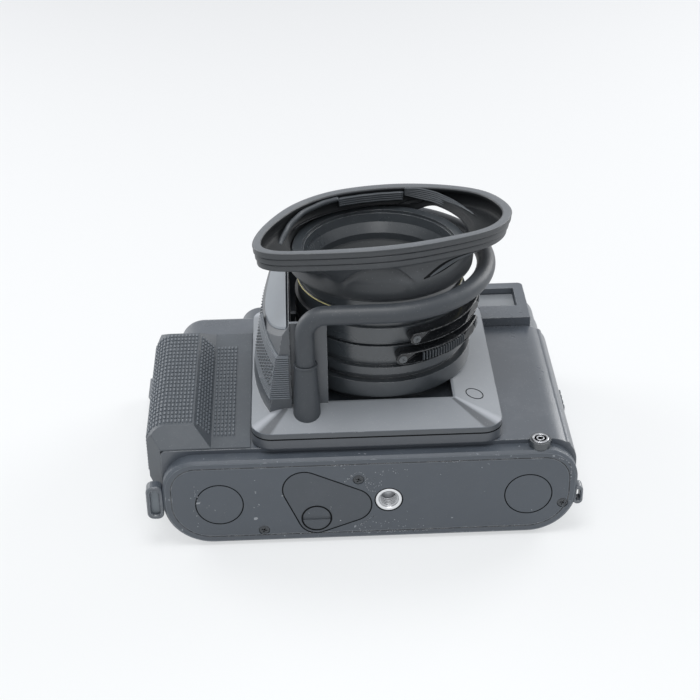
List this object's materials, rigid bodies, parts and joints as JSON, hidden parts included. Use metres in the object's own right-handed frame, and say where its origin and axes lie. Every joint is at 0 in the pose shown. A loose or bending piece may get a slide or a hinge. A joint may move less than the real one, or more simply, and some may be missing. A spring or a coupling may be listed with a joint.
{
  "type": "medium format rangefinder camera",
  "caption": "Medium format rangefinder camera lying on its back, with a bumper bar round its lens, a bent rubber lens hood, a hand grip and a hinged back door.",
  "frame": {"origin": "where the lens axis meets the plane that the camera's back rests on", "axes": "+Z along the lens axis towards the front, +Y towards the camera's top, +X towards the end away from the grip"},
  "size_m": [0.1536, 0.114, 0.1035],
  "materials": {
    "moulded_black": "satin",
    "cover_grey": "satin",
    "black_metal": "satin",
    "grip_rubber": "matt, small pyramids",
    "hood_rubber": "matt",
    "bright_metal": "brushed",
    "chrome": "polished",
    "brass": "satin",
    "glass": "clear, coated",
    "window_glass": "clear",
    "steel_blade": "dark satin",
    "spring_steel": "satin"
  },
  "bodies": {
    "camera": {"body_shell": "moulded_black", "bottom_cover": "cover_grey", "tripod_bush": "chrome", "spool_caps": "cover_grey", "battery_cells": "bright_metal", "case_screws": "black_metal", "strap_lugs": "chrome", "sync_collar": "moulded_black", "sync_socket": "bright_metal", "top_cover": "moulded_black", "finder_window": "window_glass", "frameline_window": "window_glass", "rangefinder_window": "window_glass", "finder_block": "glass", "eyepiece_ring": "black_metal", "eyepiece_glass": "glass", "accessory_shoe": "moulded_black", "shoe_contact": "brass", "counter_window": "window_glass", "grip_cover": "grip_rubber", "film_gate": "black_metal", "hinge_pin": "bright_metal", "lens_box_base": "moulded_black", "lens_box": "moulded_black", "nameplate": "moulded_black", "tower_grip": "moulded_black", "bumper_bar": "black_metal", "lens_mount": "black_metal", "spool_studs": "bright_metal"},
    "take_up": {"take_up_spool": "moulded_black"},
    "battery_lid": {"battery_cover": "moulded_black"},
    "battery_lid_screw": {"battery_screw": "black_metal"},
    "release_collar": {"button_collar": "moulded_black"},
    "release_button": {"shutter_button": "black_metal"},
    "winding_lever": {"advance_lever": "black_metal"},
    "counter": {"counter_disc": "black_metal"},
    "door": {"back_door": "moulded_black", "memo_holder": "black_metal", "plate_springs": "spring_steel"},
    "latch": {"door_latch": "black_metal"},
    "film_plate": {"pressure_plate": "black_metal"},
    "focus": {"focus_ring": "black_metal", "focus_lever": "black_metal", "focus_lever_screws": "chrome"},
    "lens_head": {"lens_barrel": "black_metal", "name_ring": "black_metal", "hood_ring": "black_metal", "front_element": "glass", "rear_element": "glass", "iris_housing": "black_metal", "rubber_hood": "hood_rubber"},
    "aperture": {"aperture_ring": "black_metal", "aperture_lever": "black_metal", "aperture_lever_screws": "chrome"},
    "speed": {"speed_ring": "black_metal"},
    "blade_1": {"iris_blade_1": "steel_blade"},
    "blade_2": {"iris_blade_2": "steel_blade"},
    "blade_3": {"iris_blade_3": "steel_blade"},
    "blade_4": {"iris_blade_4": "steel_blade"},
    "blade_5": {"iris_blade_5": "steel_blade"}
  },
  "joints": [
    {"name": "battery_cover_lift", "type": "slide", "parent": "camera", "child": "battery_lid", "axis": [0, -1, 0], "range_m": [0, 0.012]},
    {"name": "battery_screw_turn", "type": "hinge", "parent": "battery_lid", "child": "battery_lid_screw", "pos_m": [-0.0244, -0.047, 0.01], "axis": [0, 1, 0], "continuous": true},
    {"name": "release_collar_turn", "type": "hinge", "parent": "camera", "child": "release_collar", "pos_m": [-0.0429, 0.048, 0.028], "axis": [0, 1, 0], "range_deg": [0, 60]},
    {"name": "release_button_press", "type": "slide", "parent": "camera", "child": "release_button", "axis": [0, -1, 0], "range_m": [0, 0.0025], "stiffness_N_per_m": 400, "springref_m": -0.001},
    {"name": "winding_lever_swing", "type": "hinge", "parent": "camera", "child": "winding_lever", "pos_m": [-0.0569, 0.045, 0.017], "axis": [0, 1, 0], "range_deg": [0, 115], "stiffness_Nm_per_rad": 0.03, "springref_deg": -17.19},
    {"name": "counter_turn", "type": "hinge", "parent": "camera", "child": "counter", "pos_m": [-0.032, 0.04, 0.013], "axis": [0, 1, 0], "range_deg": [0, 300]},
    {"name": "back_door_hinge", "type": "hinge", "parent": "camera", "child": "door", "pos_m": [-0.0773, 0, 0.0141], "axis": [0, 1, 0], "range_deg": [0, 110]},
    {"name": "take_up_turn", "type": "hinge", "parent": "camera", "child": "take_up", "pos_m": [-0.0569, 0, 0.017], "axis": [0, 1, 0], "continuous": true},
    {"name": "door_latch_slide", "type": "slide", "parent": "camera", "child": "latch", "axis": [0, 1, 0], "range_m": [0, 0.004], "stiffness_N_per_m": 200, "springref_m": -0.001},
    {"name": "film_plate_press", "type": "slide", "parent": "door", "child": "film_plate", "axis": [0, 0, -1], "range_m": [0, 0.0008], "stiffness_N_per_m": 400, "springref_m": -0.001, "deforming": ["plate_springs"]},
    {"name": "focus_turn", "type": "hinge", "parent": "camera", "child": "focus", "pos_m": [0, 0, 0.0625], "axis": [0, 0, 1], "range_deg": [0, 95]},
    {"name": "lens_head_slide", "type": "slide", "parent": "camera", "child": "lens_head", "axis": [0, 0, 1], "range_m": [0, 0.0038]},
    {"name": "aperture_turn", "type": "hinge", "parent": "lens_head", "child": "aperture", "pos_m": [0, 0, 0.0695], "axis": [0, 0, 1], "range_deg": [0, 60]},
    {"name": "speed_turn", "type": "hinge", "parent": "lens_head", "child": "speed", "pos_m": [0, 0, 0.075], "axis": [0, 0, 1], "range_deg": [0, 120]},
    {"name": "iris_blade_1_swing", "type": "hinge", "parent": "lens_head", "child": "blade_1", "pos_m": [0.0195, 0, 0.064], "axis": [0, 0, 1], "range_deg": [0, 22]},
    {"name": "iris_blade_2_swing", "type": "hinge", "parent": "lens_head", "child": "blade_2", "pos_m": [0.00603, 0.01855, 0.064], "axis": [0, 0, 1], "range_deg": [0, 22]},
    {"name": "iris_blade_3_swing", "type": "hinge", "parent": "lens_head", "child": "blade_3", "pos_m": [-0.01578, 0.01146, 0.064], "axis": [0, 0, 1], "range_deg": [0, 22]},
    {"name": "iris_blade_4_swing", "type": "hinge", "parent": "lens_head", "child": "blade_4", "pos_m": [-0.01578, -0.01146, 0.064], "axis": [0, 0, 1], "range_deg": [0, 22]},
    {"name": "iris_blade_5_swing", "type": "hinge", "parent": "lens_head", "child": "blade_5", "pos_m": [0.00603, -0.01855, 0.064], "axis": [0, 0, 1], "range_deg": [0, 22]}
  ],
  "couplings": [
    {"joint": "lens_head_slide", "follows": "focus_turn", "m_per_rad": 0.002291},
    {"joint": "iris_blade_1_swing", "follows": "aperture_turn", "ratio": 0.3666},
    {"joint": "iris_blade_2_swing", "follows": "aperture_turn", "ratio": 0.3666},
    {"joint": "iris_blade_3_swing", "follows": "aperture_turn", "ratio": 0.3666},
    {"joint": "iris_blade_4_swing", "follows": "aperture_turn", "ratio": 0.3666},
    {"joint": "iris_blade_5_swing", "follows": "aperture_turn", "ratio": 0.3666}
  ]
}
